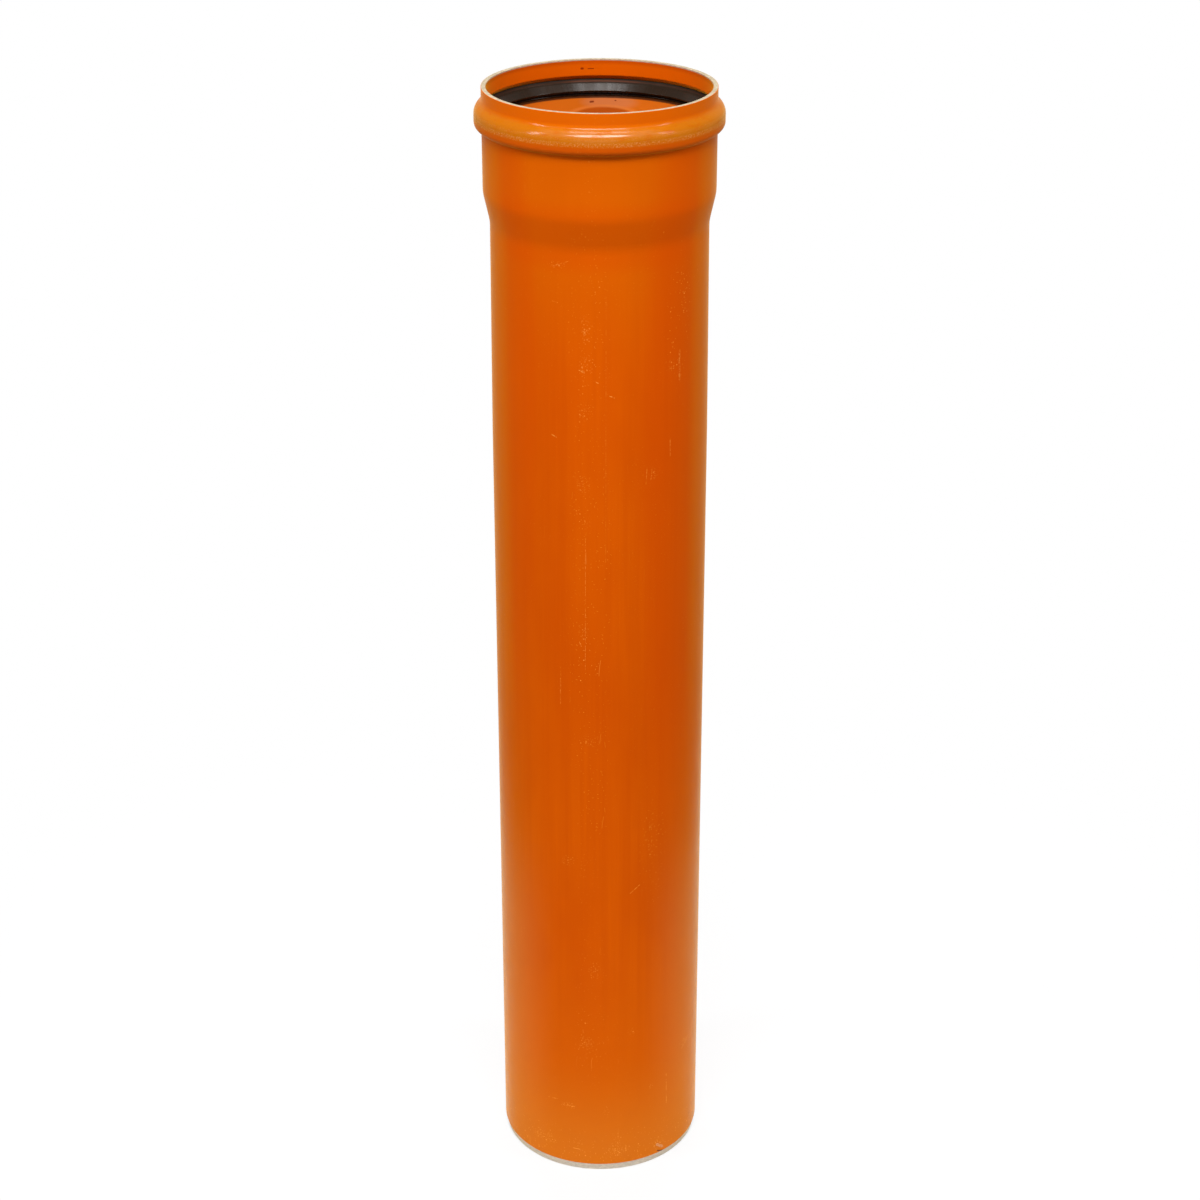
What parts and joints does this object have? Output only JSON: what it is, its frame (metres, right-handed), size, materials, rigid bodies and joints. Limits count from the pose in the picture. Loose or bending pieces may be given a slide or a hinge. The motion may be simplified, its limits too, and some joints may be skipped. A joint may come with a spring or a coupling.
{
  "type": "plastic sewer pipe",
  "caption": "Round drain pipe with a beaded socket and rubber lip seal at one end and a plain chamfered end at the other, for push-fit buried sewers.",
  "frame": {"origin": "centre of the plain end's foot, on the floor that the pipe stands on", "axes": "+Z along the pipe's axis, from the plain end up to the socket's mouth"},
  "size_m": [0.223, 0.2228, 1.097],
  "materials": {
    "pipe_wall": "gloss",
    "seal_rubber": "satin"
  },
  "bodies": {
    "root": {"pipe": "pipe_wall", "sealing_ring": "seal_rubber"}
  },
  "joints": []
}
